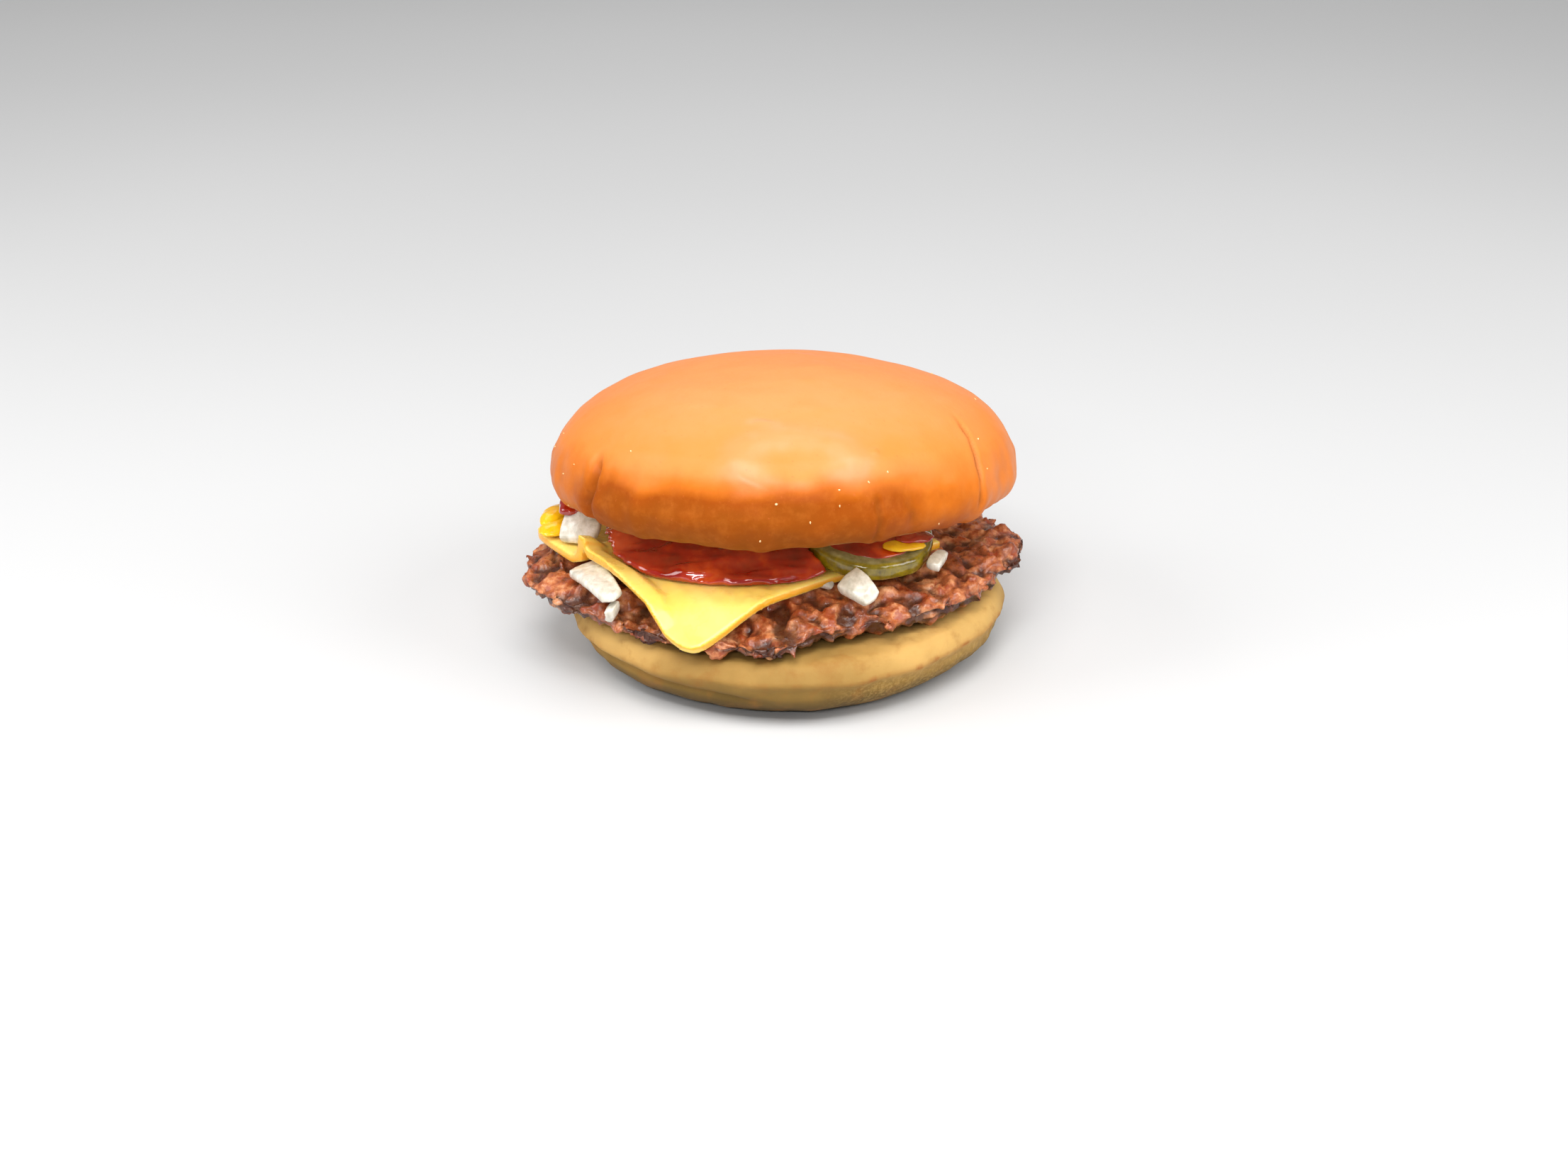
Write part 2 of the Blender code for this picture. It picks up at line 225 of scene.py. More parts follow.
class Finish:
    """A Principled material with short calls for the nodes around it."""

    def __init__(self, name, roughness, **sockets):
        self.material = bpy.data.materials.new(name)
        self.material.use_nodes = True
        self.tree = self.material.node_tree
        self.shader = self.tree.nodes["Principled BSDF"]
        self.shader.inputs["Roughness"].default_value = roughness
        for socket, value in sockets.items():
            self.shader.inputs[socket.replace("_", " ")].default_value = value
        self.place = self.tree.nodes.new("ShaderNodeTexCoord").outputs["Object"]

    def glow(self, weight, radius, depth):
        """Lets light soak in: its share, its reach in red, green and blue, and that reach's unit in mm."""
        self.shader.inputs["Subsurface Weight"].default_value = weight
        self.shader.inputs["Subsurface Radius"].default_value = radius
        self.shader.inputs["Subsurface Scale"].default_value = depth * MM

    def link(self, source, target):
        self.tree.links.new(source, target)

    def noise(self, size, detail=3.0, roughness=0.55, stretch=(1, 1, 1)):
        """Noise from 0 to 1 with lumps of that size in mm."""
        scale = self.tree.nodes.new("ShaderNodeMapping")
        scale.inputs["Scale"].default_value = stretch
        self.link(self.place, scale.inputs["Vector"])
        made = self.tree.nodes.new("ShaderNodeTexNoise")
        made.inputs["Scale"].default_value = 1 / (size * MM)
        made.inputs["Detail"].default_value = detail
        made.inputs["Roughness"].default_value = roughness
        self.link(scale.outputs["Vector"], made.inputs["Vector"])
        return made.outputs["Fac"]

    def painted(self, name):
        """A number painted on the mesh's points."""
        made = self.tree.nodes.new("ShaderNodeAttribute")
        made.attribute_name = name
        return made.outputs["Fac"]

    def math(self, kind, a, b, clamp=False):
        made = self.tree.nodes.new("ShaderNodeMath")
        made.operation = kind
        made.use_clamp = clamp
        for socket, value in zip(made.inputs, (a, b)):
            if isinstance(value, (int, float)):
                socket.default_value = value
            else:
                self.link(value, socket)
        return made.outputs["Value"]

    def swing(self, value, reach):
        """Turns 0..1 into a swing of that reach, half of it to each side of zero."""
        return self.math("MULTIPLY", self.math("SUBTRACT", value, 0.5), reach)

    def span(self, value, low, high, to_low=0.0, to_high=1.0):
        """Maps low..high to to_low..to_high, clamped."""
        made = self.tree.nodes.new("ShaderNodeMapRange")
        made.interpolation_type = "SMOOTHSTEP"
        for name, number in (("From Min", low), ("From Max", high), ("To Min", to_low), ("To Max", to_high)):
            made.inputs[name].default_value = number
        self.link(value, made.inputs["Value"])
        return made.outputs["Result"]

    def ramp(self, value, *stops):
        """Colours (position, (r, g, b)) along value."""
        made = self.tree.nodes.new("ShaderNodeValToRGB")
        ramp = made.color_ramp
        while len(ramp.elements) < len(stops):
            ramp.elements.new(0.5)
        for element, (position, colour) in zip(ramp.elements, stops):
            element.position = position
            element.color = (*colour, 1)
        self.link(value, made.inputs["Fac"])
        return made.outputs["Color"]

    def mix(self, share, a, b):
        """Colour a, with that share of colour b over it."""
        made = self.tree.nodes.new("ShaderNodeMix")
        made.data_type = "RGBA"
        colours = [socket for socket in made.inputs if socket.type == "RGBA"]
        self.link(share, made.inputs["Factor"])
        for socket, value in zip(colours, (a, b)):
            if isinstance(value, tuple):
                socket.default_value = (*value, 1)
            else:
                self.link(value, socket)
        return next(socket for socket in made.outputs if socket.type == "RGBA")

    def colour(self, source):
        self.link(source, self.shader.inputs["Base Color"])

    def roughness(self, source):
        self.link(source, self.shader.inputs["Roughness"])

    def coat(self, source):
        self.link(source, self.shader.inputs["Coat Weight"])

    def bump(self, height, depth):
        """Adds relief of that depth in mm; a second call stacks on the first."""
        made = self.tree.nodes.new("ShaderNodeBump")
        made.inputs["Strength"].default_value = 1.0
        made.inputs["Distance"].default_value = depth * MM
        self.link(height, made.inputs["Height"])
        before = self.shader.inputs["Normal"].links
        if before:
            self.link(before[0].from_socket, made.inputs["Normal"])
        self.link(made.outputs["Normal"], self.shader.inputs["Normal"])


def linear(value):
    """One channel of a colour as the eye sees it, 0 to 1, as linear light."""
    if value < 0.04045:
        return value / 12.92
    return ((value + 0.055) / 1.055) ** 2.4


def srgb(red, green, blue):
    """A colour given as the eye sees it, 0 to 255, as linear light."""
    return tuple(linear(channel / 255) for channel in (red, green, blue))


def crust_finish():
    """Golden crust: paler above, toasted brown round the side, glossy by the dent; the pale top is painted
    light, and the dark low side, lip and creases are painted shade over the toast. Crumb where it is cut.
    """
    f = Finish("crust", 0.55, Specular_IOR_Level=0.1, Coat_IOR=1.75, Coat_Roughness=0.52)
    f.glow(0.03, (1.0, 0.4, 0.15), 2.0)
    # Toast with painted light and shade: a pale top, and a dark low front and lip
    band = f.painted("band")
    base = f.ramp(
        f.math("ADD", band, f.swing(f.noise(11, 4), 0.34), clamp=True),
        (0.0, srgb(142, 82, 6)),
        (0.12, srgb(140, 70, 3)),
        (0.34, srgb(154, 70, 2)),
        (0.55, srgb(202, 106, 20)),
        (0.74, srgb(226, 130, 54)),
        (1.0, srgb(230, 140, 78)),
    )
    mottled = f.mix(f.span(f.noise(2.6, 5, 0.65), 0.42, 0.72, 0.0, 0.14), base, srgb(222, 130, 48))
    flecked = f.mix(f.span(f.noise(0.8, 2), 0.66, 0.78, 0.0, 0.4), mottled, srgb(196, 98, 46))
    # Painted shade darkens the creases
    creased = f.mix(f.painted("crease"), flecked, srgb(140, 70, 10))
    crumb = f.ramp(f.noise(1.6, 5, 0.7), (0.3, srgb(206, 160, 96)), (0.7, srgb(240, 214, 160)))
    f.colour(f.mix(f.painted("cut"), creased, crumb))
    shiny = f.span(f.painted("gloss"), 0.0, 0.8, 0.22, 1.0)
    f.coat(f.math("MULTIPLY", shiny, f.span(band, 0.4, 0.7)))
    dull = f.span(band, 0.1, 0.6, 0.65, 0.42)
    f.roughness(f.math("ADD", dull, f.swing(f.noise(3.5, 4), 0.22)))
    f.bump(f.noise(4.5, 3), 0.10)
    f.bump(f.noise(0.7, 4, 0.6), 0.035)
    return f.material


def heel_finish():
    """Pale, dry bread with a toasted seam and granular below it on the right; painted shade makes it olive
    brown at the foot and dim under the patty's front.
    """
    f = Finish("heel_bread", 0.75, Specular_IOR_Level=0.3)
    f.glow(0.1, (1.0, 0.6, 0.3), 2.0)
    # Painted shade: darker towards the foot and under the patty's front
    base = f.ramp(
        f.math("ADD", f.painted("band"), f.swing(f.noise(9, 4), 0.3), clamp=True),
        (0.0, srgb(74, 55, 18)),
        (0.25, srgb(110, 84, 34)),
        (0.5, srgb(142, 109, 50)),
        (0.75, srgb(172, 134, 70)),
        (1.0, srgb(204, 162, 92)),
    )
    warm = f.mix(f.span(f.noise(6, 5, 0.6), 0.48, 0.72, 0.0, 0.5), base, srgb(148, 98, 38))
    flaky = f.math("MULTIPLY", f.span(f.noise(0.9, 4, 0.7), 0.4, 0.7, 0.0, 0.4), f.painted("grainy"))
    grain = f.mix(flaky, warm, srgb(206, 168, 98))
    f.colour(f.mix(f.painted("seam"), grain, srgb(150, 84, 30)))
    f.bump(f.noise(3.2, 4), 0.16)
    granules = f.math("MULTIPLY", f.noise(0.75, 5, 0.7), f.span(f.painted("grainy"), 0.0, 1.0, 0.15, 1.0))
    f.bump(granules, 0.22)
    return f.material


def crumb_finish():
    """Dry specks of pale bread."""
    f = Finish("crumb", 0.8)
    f.colour(f.ramp(f.noise(0.8), (0.3, srgb(224, 170, 104)), (0.7, srgb(250, 220, 168))))
    return f.material


def beef_finish():
    """Browned minced beef: lumps of pinkish brown, rusty and seared patches, painted shade in the hollows and
    underneath, a moist sheen.
    """
    f = Finish("beef", 0.4, Specular_IOR_Level=0.4, Coat_Weight=0.35, Coat_Roughness=0.12)
    lump = f.ramp(
        f.noise(4.2, 6, 0.66),
        (0.33, srgb(104, 48, 22)),
        (0.42, srgb(148, 76, 42)),
        (0.50, srgb(178, 98, 54)),
        (0.58, srgb(208, 134, 86)),
        (0.70, srgb(234, 176, 130)),
    )
    rusty = f.mix(f.span(f.noise(3.0, 5, 0.6), 0.5, 0.62, 0.0, 0.8), lump, srgb(150, 58, 22))
    seared = f.mix(f.span(f.noise(7.0, 5, 0.6), 0.5, 0.68, 0.0, 0.65), rusty, srgb(96, 46, 26))
    # Painted shade: near black in the hollows and on the underside
    f.colour(f.mix(f.span(f.painted("crevice"), 0.1, 0.95, 0.0, 0.9), seared, srgb(54, 23, 12)))
    f.roughness(f.span(f.noise(1.1, 4, 0.6), 0.3, 0.7, 0.22, 0.62))
    f.bump(f.noise(2.6, 4, 0.5), 0.45)
    f.bump(f.noise(0.7, 3), 0.13)
    return f.material


def cheese_finish():
    """Processed cheese: pale yellow on its face and deeper orange-yellow in its edges."""
    f = Finish("cheese_slice", 0.32, Specular_IOR_Level=0.45, Coat_Weight=0.3, Coat_Roughness=0.12)
    f.glow(0.35, (1.0, 0.55, 0.12), 2.4)
    face = f.ramp(f.noise(14, 3), (0.35, srgb(252, 212, 98)), (0.65, srgb(255, 222, 128)))
    f.colour(f.mix(f.painted("edge"), face, srgb(250, 168, 10)))
    f.roughness(f.span(f.noise(5, 3), 0.35, 0.65, 0.24, 0.42))
    f.bump(f.noise(6, 2), 0.12)
    return f.material


def ketchup_finish():
    """Wet red sauce, with a paler film over its left end."""
    f = Finish("ketchup_sauce", 0.12, Specular_IOR_Level=0.6, Coat_Weight=1.0, Coat_Roughness=0.05)
    f.glow(0.1, (1.0, 0.12, 0.05), 1.2)
    body = f.ramp(f.noise(7, 4), (0.3, srgb(128, 12, 2)), (0.5, srgb(164, 25, 4)), (0.7, srgb(206, 66, 14)))
    f.colour(f.mix(f.painted("creamy"), body, srgb(166, 84, 62)))
    f.roughness(f.span(f.noise(2.5, 4), 0.35, 0.7, 0.05, 0.16))
    f.bump(f.noise(3.8, 2), 0.16)
    return f.material


def mustard_finish():
    """Smooth bright yellow sauce."""
    f = Finish("mustard_sauce", 0.22, Specular_IOR_Level=0.5, Coat_Weight=0.3, Coat_Roughness=0.1)
    f.glow(0.15, (1.0, 0.6, 0.1), 1.0)
    f.colour(f.ramp(f.noise(4, 4), (0.3, srgb(236, 172, 4)), (0.7, srgb(254, 208, 30))))
    f.bump(f.noise(2.2, 3), 0.12)
    return f.material


def pickle_finish():
    """Gherkin: dark olive skin round the rim and paler wet flesh on its faces."""
    f = Finish("pickle_slice", 0.16, Specular_IOR_Level=0.55, Coat_Weight=0.6, Coat_Roughness=0.06)
    f.glow(0.15, (0.5, 0.6, 0.15), 1.0)
    skin = f.ramp(
        f.noise(2.6, 5, 0.65),
        (0.3, srgb(86, 72, 2)),
        (0.52, srgb(134, 116, 6)),
        (0.72, srgb(170, 150, 20)),
    )
    flesh = f.ramp(f.noise(2.0, 5, 0.6), (0.3, srgb(112, 108, 62)), (0.7, srgb(164, 158, 112)))
    f.colour(f.mix(f.painted("face"), skin, flesh))
    f.bump(f.noise(1.3, 4), 0.10)
    return f.material


def onion_finish():
    """Raw white onion with faint greyish veins."""
    f = Finish("onion_piece", 0.28, Specular_IOR_Level=0.5, Coat_Weight=0.4, Coat_Roughness=0.1)
    f.glow(0.5, (0.9, 0.9, 0.8), 1.6)
    veins = f.noise(1.6, 4, 0.6, stretch=(1, 1, 0.3))
    f.colour(
        f.ramp(veins, (0.3, srgb(190, 184, 166)), (0.55, srgb(222, 216, 202)), (0.75, srgb(242, 238, 230)))
    )
    f.bump(veins, 0.10)
    f.bump(f.noise(0.5, 2), 0.03)
    return f.material


# ---- crown -----------------------------------------------------------------------------------------

# The crown's axis leans back by this much
CROWN_TILT = math.radians(9.5)
CROWN_AXIS = np.array([0, math.sin(CROWN_TILT), math.cos(CROWN_TILT)])
# Radius of the cut face, inside the lip
CUT_RADIUS = 46.0
# Heights along the crown's axis from its middle: the front shoulder, the waist below it, and the lip
SHOULDER, WAIST, LIP = 5.5, -1.5, -17.0
# A dent at the front, wider than it is high, with a low ring round it
DENT = np.array([2.0, -42.6, 59.0])
DENT_STRETCH = 1.55
DENT_RADIUS, DENT_DEPTH = 5.6, 1.15
RING_RADIUS, RING_HEIGHT = 8.6, 0.35
# Creases down the crown's side
LEFT_CREASE = (
    (-38.6, -25.0, 55.0),
    (-40.6, -28.4, 51.5),
    (-42.0, -29.4, 47.0),
    (-42.9, -28.0, 41.0),
    (-41.0, -27.0, 37.5),
)
FRONT_CREASE = (
    (17.8, -43.0, 53.5),
    (18.4, -44.4, 49.5),
    (18.8, -44.5, 46.0),
    (17.6, -42.4, 41.0),
    (18.3, -40.0, 38.5),
)
NEXT_CREASE = ((24.8, -40.6, 51.0), (26.0, -41.0, 48.0), (26.6, -40.2, 42.5), (26.2, -38.0, 39.5))
RIGHT_CREASE = (
    (33.5, -13.0, 58.6),
    (36.8, -17.6, 56.6),
    (39.4, -22.5, 52.5),
    (41.0, -26.0, 47.0),
    (40.0, -27.0, 41.5),
)
# Path, half-width and depth of each crease
CREASES = (
    (LEFT_CREASE, 1.2, 2.0),
    (FRONT_CREASE, 0.7, 0.7),
    (NEXT_CREASE, 1.1, 0.7),
    (RIGHT_CREASE, 0.7, 0.7),
)
# Fine raised wrinkles round the dent
DENT_WRINKLE = ((-12.0, -43.0, 58.2), (-9.0, -45.4, 56.4), (-6.0, -46.4, 55.4), (-1.0, -47.9, 53.4))
TOP_WRINKLE = ((-7.5, -31.0, 64.0), (-3.0, -32.4, 63.8))
RIGHT_WRINKLE = ((17.0, -36.0, 59.8), (17.8, -37.6, 58.6))
WRINKLE_WIDTH = 0.9
# Path and height of each wrinkle
WRINKLES = ((DENT_WRINKLE, 0.22), (TOP_WRINKLE, 0.3), (RIGHT_WRINKLE, 0.3))


def crown_body(points, rise, cut, front):
    """Push of the crown's broad lumps, and of the soft upright folds that gather its side to the lip."""
    middle = middle_of("crown")
    rim = on_circle(points[:, 0] - middle[0], points[:, 1] - middle[1])
    side = smooth((4 - rise) / 10) * (1 - cut)
    lumps = 0.55 * noise_at(points, 24, 1) + 0.16 * noise_at(points, 9, 2) - 0.30
    folds = noise_at(rim, 3.2, 4) + 0.5 * noise_at(rim, 1.5, 5)
    gathered = 0.75 * folds - 0.2 + 0.35 * noise_at(points, 5, 6)
    shoulder = 0.35 * hump(rise - SHOULDER, 3.0) - 0.45 * hump(rise - WAIST, 4.0)
    crumb = 0.35 * noise_at(points, 2.6, 12, 3) - 0.1
    return lumps + side * gathered + front * shoulder + cut * crumb


def crown_creases(points):
    """(push, painted shade) of the creases and wrinkles."""
    push = np.zeros(len(points))
    dark = np.zeros(len(points))
    wobble = 1 + 0.35 * noise_at(points, 2.5, 9)
    for path, width, depth in CREASES:
        d, along = to_path(points, path)
        fade = smooth(along / 0.25) * smooth((1.02 - along) / 0.12)
        push -= depth * fade * hump(d, width * wobble)
        # Bread swells a little beside the crease
        push += 0.15 * depth * fade * hump(d - 2.4 * width, 1.4 * width)
        # Painted shade along the crease
        dark = np.maximum(dark, 0.75 * fade * hump(d, 0.75 * width))
    for path, height in WRINKLES:
        d, along = to_path(points, path)
        push += height * smooth(along / 0.3) * smooth((1 - along) / 0.3) * hump(d, WRINKLE_WIDTH)
    return push, dark


def crown_dent(points):
    """(push, gloss) of the dent, whose ring is the glossiest part of the crust."""
    away = points - DENT
    across = np.hypot(away[:, 0] / DENT_STRETCH, np.hypot(away[:, 1], away[:, 2]))
    push = RING_HEIGHT * hump(across - RING_RADIUS, 2.4) - DENT_DEPTH * hump(across, DENT_RADIUS)
    streak, _ = to_path(points, TOP_WRINKLE)
    ring = hump(across - (RING_RADIUS - 1.0), 3.4) * (0.8 + 0.7 * noise_at(points, 4, 14, 2))
    return push, ring + 0.7 * hump(streak, 1.6)


def crown_band(points, rise, front):
    """How pale the crust is, 0 to 1: paler above, toasted below the waist at the front, and darker at the
    lip. The paler top and the lighter right side are painted light; the dark low front and lip are painted
    shade over the toast.
    """
    # Painted light keeps the right side paler
    right = smooth((points[:, 0] - 10) / 20)
    # Toast and painted shade together, strongest at the front
    toasted = (0.35 + 0.65 * front) * (1 - 0.45 * right)
    low = 1 - smooth((rise + 6.0 + 3.0 * noise_at(points, 12, 13, 2)) / 11.0)
    # Painted shade at the lip
    lip = 1 - smooth((rise - LIP) / 9)
    return 0.72 + 0.28 * smooth(rise / 16) - 0.5 * low * toasted - 0.18 * lip


def crown():
    made = from_node("crown", "crown_bun", 0.62, 14)
    points, normals = read(made)
    away = points - middle_of("crown")
    rise = away @ CROWN_AXIS
    radius = np.hypot(away[:, 0], away[:, 1])
    cut = smooth((-normals @ CROWN_AXIS - 0.84) / 0.1) * smooth((CUT_RADIUS - radius) / 3.0)
    front = smooth((-points[:, 1] - 18) / 18)
    crease_push, crease = crown_creases(points)
    dent_push, gloss = crown_dent(points)
    push = crown_body(points, rise, cut, front) + crease_push + dent_push
    write(made, points + push[:, None] * normals)
    # The crust's tone, with painted light above and painted shade low at the front and at the lip
    paint(made, "band", np.clip(crown_band(points, rise, front), 0, 1))
    paint(made, "gloss", np.clip(gloss, 0, 1))
    paint(made, "cut", cut)
    paint(made, "crease", crease * (1 - cut))
    return finish_piece(made, crust_finish(), "bun_crust", "crown")


# ---- heel ------------------------------------------------------------------------------------------

# Height of the seam between the cut rim and the crust, and of the long fold along the left side
SEAM = 10.6
FOLD, FOLD_SLOPE = 7.2, 0.06
# Where the heel's crust starts, out from its axis, and where its side stands upright
CRUST_RADIUS, SIDE_RADIUS = 36, 42


def heel_push(points, normals, side, right, ridge):
    """Relief of the heel: lumps, the seam, grain below it on the right, and the fold on the left."""
    x, y, z = points.T
    crust = smooth((np.hypot(x, y) - CRUST_RADIUS) / 6)
    top = smooth((normals[:, 2] - 0.7) / 0.2)
    left = smooth((-x - 2) / 10) * smooth((z - 0.5) / 2)
    fold = z - FOLD + FOLD_SLOPE * (x + 25)
    lumps = crust * (0.5 * noise_at(points, 13, 21) + 0.28 * noise_at(points, 5, 22)) - 0.25
    seam = 0.45 * hump(z - ridge, 0.9) - 0.35 * hump(z - ridge + 2.4, 1.3)
    grain = right * smooth((ridge - z) / 1.5) * 0.28 * noise_at(points, 1.8, 25, 2)
    folded = left * (0.35 * hump(fold - 1.9, 1.2) - 0.7 * hump(fold, 0.7))
    crumb = 0.3 * noise_at(points, 2.4, 27, 3)
    return lumps + side * (seam + grain + folded) + top * crumb


def heel():
    made = from_node("heel", "heel_bun", 0.66, 10)
    points, normals = read(made)
    x, y, z = points.T
    rim = on_circle(x, y)
    side = smooth((np.hypot(x, y) - SIDE_RADIUS) / 3)
    right = smooth((x - 4) / 16)
    # The seam wanders up and down round the side
    ridge = SEAM + 1.0 * noise_at(rim, 9, 23) + 0.4 * noise_at(rim, 3, 24)
    # The foot stays flat
    foot = smooth(z / 1.2)
    push = foot * heel_push(points, normals, side, right, ridge)
    write(made, points + push[:, None] * normals)
    # Painted shade: the patty's sagging front keeps this part of the side dim, so its colour is darkened here
    shaded = smooth((-y - 18) / 22) * smooth((34 - np.abs(x + 4)) / 22)
    # The colour darkens towards the foot by painted shade
    paint(made, "band", smooth((z - 0.5) / 13) * (1 - 0.35 * shaded))
    dots = smooth((noise_at(rim, 1.1, 28) - 0.15) / 0.3)
    paint(made, "seam", side * hump(z - ridge, 0.55) * (0.25 + 0.6 * dots) * (0.3 + 0.7 * right))
    paint(made, "grainy", right * smooth((ridge - z) / 1.5))
    return finish_piece(made, heel_finish(), "bun_side", "heel")


# ---- patty -----------------------------------------------------------------------------------------

# How many lumps of mince stand on the patty's edge and on its top, and their sizes
EDGE_LUMPS, EDGE_SIZES = 150, (1.2, 1.8, 2.6, 3.4)
TOP_LUMPS, TOP_SIZES = 80, (2.2, 3.2, 4.4)
# The relief never moves the surface in or out by more than this
DEEPEST, HIGHEST = -1.7, 1.2


def add_lump(target, centre, radius, flat):
    """A rough lump of mince joined into the mesh before it is remeshed."""
    spread = [RNG.uniform(0.7, 1.6), RNG.uniform(0.7, 1.6), RNG.uniform(0.6, 1.1) * flat]
    spin = Matrix.Rotation(RNG.uniform(0, math.pi), 4, "Z") @ Matrix.Rotation(RNG.uniform(-0.6, 0.6), 4, "X")
    place = Matrix.Translation(Vector(centre) * MM) @ spin @ Matrix.Diagonal((*spread, 1))
    bmesh.ops.create_icosphere(target, subdivisions=1, radius=radius * MM, matrix=place)


def lumpy_patty():
    """The patty with lumps of mince half sunk in its edge and its top."""
    source = link("patty_raw", frame["nodes"]["patty"].data.copy())
    shell, outward = read(remeshed(source, 1.6, 2))
    bpy.data.objects.remove(source)
    body = bmesh.new()
    body.from_mesh(frame["nodes"]["patty"].data)
    radius = np.hypot(shell[:, 0], shell[:, 1])
    steep = np.abs(outward[:, 2]) < 0.85
    edge_spots = np.flatnonzero(steep & (radius > 34))
    top_spots = np.flatnonzero(~steep & (outward[:, 2] > 0) & (radius > 22))
    # Spots, count, sizes, how deep they sink as a share of their size, and how flat they are
    kinds = (
        (edge_spots, EDGE_LUMPS, EDGE_SIZES, (0.5, 0.95), 1.0),
        (top_spots, TOP_LUMPS, TOP_SIZES, (0.55, 0.85), 0.45),
    )
    for spots, count, sizes, sink, flat in kinds:
        for index in RNG.sample(list(spots), min(len(spots), count)):
            size = RNG.choice(sizes)
            centre = shell[index] - outward[index] * size * flat * RNG.uniform(*sink)
            add_lump(body, centre, size, flat)
    return remeshed(from_bmesh("beef_patty", body), 0.56, 2)


def patty():
    made = lumpy_patty()
    points, normals = read(made)
    edge = smooth((np.hypot(points[:, 0], points[:, 1]) - 24) / 10)
    side = smooth((0.8 - np.abs(normals[:, 2])) / 0.4)
    swirl = np.stack([noise_at(points, 5.0, seed, 2) for seed in (31, 32, 33)], axis=1)
    crack = 1 - smooth(cell_gap(points + 4.2 * swirl, 7.0, 34) / 0.3)
    folds = 1 - np.abs(noise_at(points + 1.5 * swirl, 5.0, 35, 2)) / 0.35
    folds = np.clip(folds, 0, 1) ** 2
    broad = noise_at(points, 7, 36, 2)
    rough = noise_at(points, 4.2, 37, 3, 0.55)
    push = edge * (1.4 * broad + 1.9 * rough - 0.8 * crack - 0.55 * folds - 0.3)
    push = push + side * edge * (0.7 * noise_at(points, 4.0, 38, 2) - 0.3)
    push = np.clip(push, DEEPEST, HIGHEST)
    write(made, points + push[:, None] * normals)
    # Painted shade in the low hollows
    hollow = 0.5 * crack + 0.3 * folds - 1.9 * rough - 1.0 * broad - 0.1
    # Painted shade on faces turned down
    under = 0.7 * smooth((-normals[:, 2] + 0.25) / 0.7)
    paint(made, "crevice", np.clip(hollow * edge + under, 0, 1))
    return finish_piece(made, beef_finish(), "beef", "patty")


# ---- cheese and sauces -----------------------------------------------------------------------------

# The middle, in x and y, and the reach of the melted wrinkles on the cheese
MELT, MELT_REACH = (-4.0, -35.5), 7.0


def cheese():
    made = from_node("cheese", "cheese_slice", 0.46, 5)
    points, normals = read(made)
    flat = smooth((np.abs(normals[:, 2]) - 0.25) / 0.35)
    from_melt = np.hypot(points[:, 0] - MELT[0], points[:, 1] - MELT[1])
    melt = hump(from_melt, MELT_REACH) * (normals[:, 2] > 0)
    push = 0.16 * noise_at(points, 11, 41) + melt * 0.55 * noise_at(points, 2.6, 42, 2)
    write(made, points + push[:, None] * normals)
    paint(made, "edge", 0.9 * (1 - flat))
    return finish_piece(made, cheese_finish(), "cheese", "cheese")


def ketchup(finish):
    made = from_node("ketchup", "ketchup_pool", 0.46, 8)
    points, normals = read(made)
    upward = smooth((normals[:, 2] + 0.2) / 0.5)
    # Lumps drawn out sideways
    streaks = noise_at(points * np.array([0.35, 1.0, 1.0]), 3.6, 51, 2)
    push = upward * (1.5 * streaks + 1.1 * noise_at(points, 6, 52) + 0.2)
    write(made, points + push[:, None] * normals)
    left = smooth((-points[:, 0] - 26) / 14)
    paint(made, "creamy", left * 0.5 * smooth((noise_at(points, 5, 53) + 0.5) / 0.8))
    return finish_piece(made, finish, "ketchup", "ketchup")


def mustard(node, finish):
    made = from_node(node, node + "_blob", 0.3, 8)
    points, normals = read(made)
    push = 0.25 * noise_at(points, 3.2, 61, 2) - 0.05
    write(made, points + push[:, None] * normals)
    return finish_piece(made, finish, "mustard", node)


# ---- pickle and onion ------------------------------------------------------------------------------

# Radius of the pickle's seed core, which is sunk in its faces
CORE_RADIUS, CORE_DEPTH = 11, 0.35


def pickle():
    made = from_node("pickle", "pickle_slice", 0.36, 5)
    points, normals = read(made)
    face = smooth((np.abs(normals[:, 2]) - 0.7) / 0.2)
    away = points - middle_of("pickle")
    core = smooth((CORE_RADIUS - np.hypot(away[:, 0], away[:, 1])) / 4)
    push = 0.18 * noise_at(points, 3.5, 71, 2) - face * CORE_DEPTH * core
    write(made, points + push[:, None] * normals)
    paint(made, "face", face)
    return finish_piece(made, pickle_finish(), "pickle", "pickle")


def onion(node, finish):
    made = from_node(node, node + "_piece", 0.26, 4)
    points, normals = read(made)
    push = 0.16 * noise_at(points, 2.6, 81, 2)
    write(made, points + push[:, None] * normals)
    return finish_piece(made, finish, "onion", node)


# ---- small extras ----------------------------------------------------------------------------------

# How many places on the crown are tried for a crumb, and the crumbs' radius
CRUMB_TRIES = 46
CRUMB_RADIUS = (0.14, 0.34)
# The crown's middle in x and y, the height of its widest part, and how far off the tries start
CROWN_MIDDLE, CROWN_HEIGHT, FAR_OUT = (-1.3, 1.2), 46, 80


def scrap(node, name, centre, scale, turn, finish, slot):
    """A small piece shaped like a node's piece, made over at another place and size."""
    made = from_node(node, name, 0.3, 4)
    points, _ = read(made)
    middle = (points.max(axis=0) + points.min(axis=0)) / 2
    points = ((points - middle) * np.array(scale)) @ rotation(turn).T + np.array(centre)
    write(made, points)
    return finish_piece(made, finish, slot)


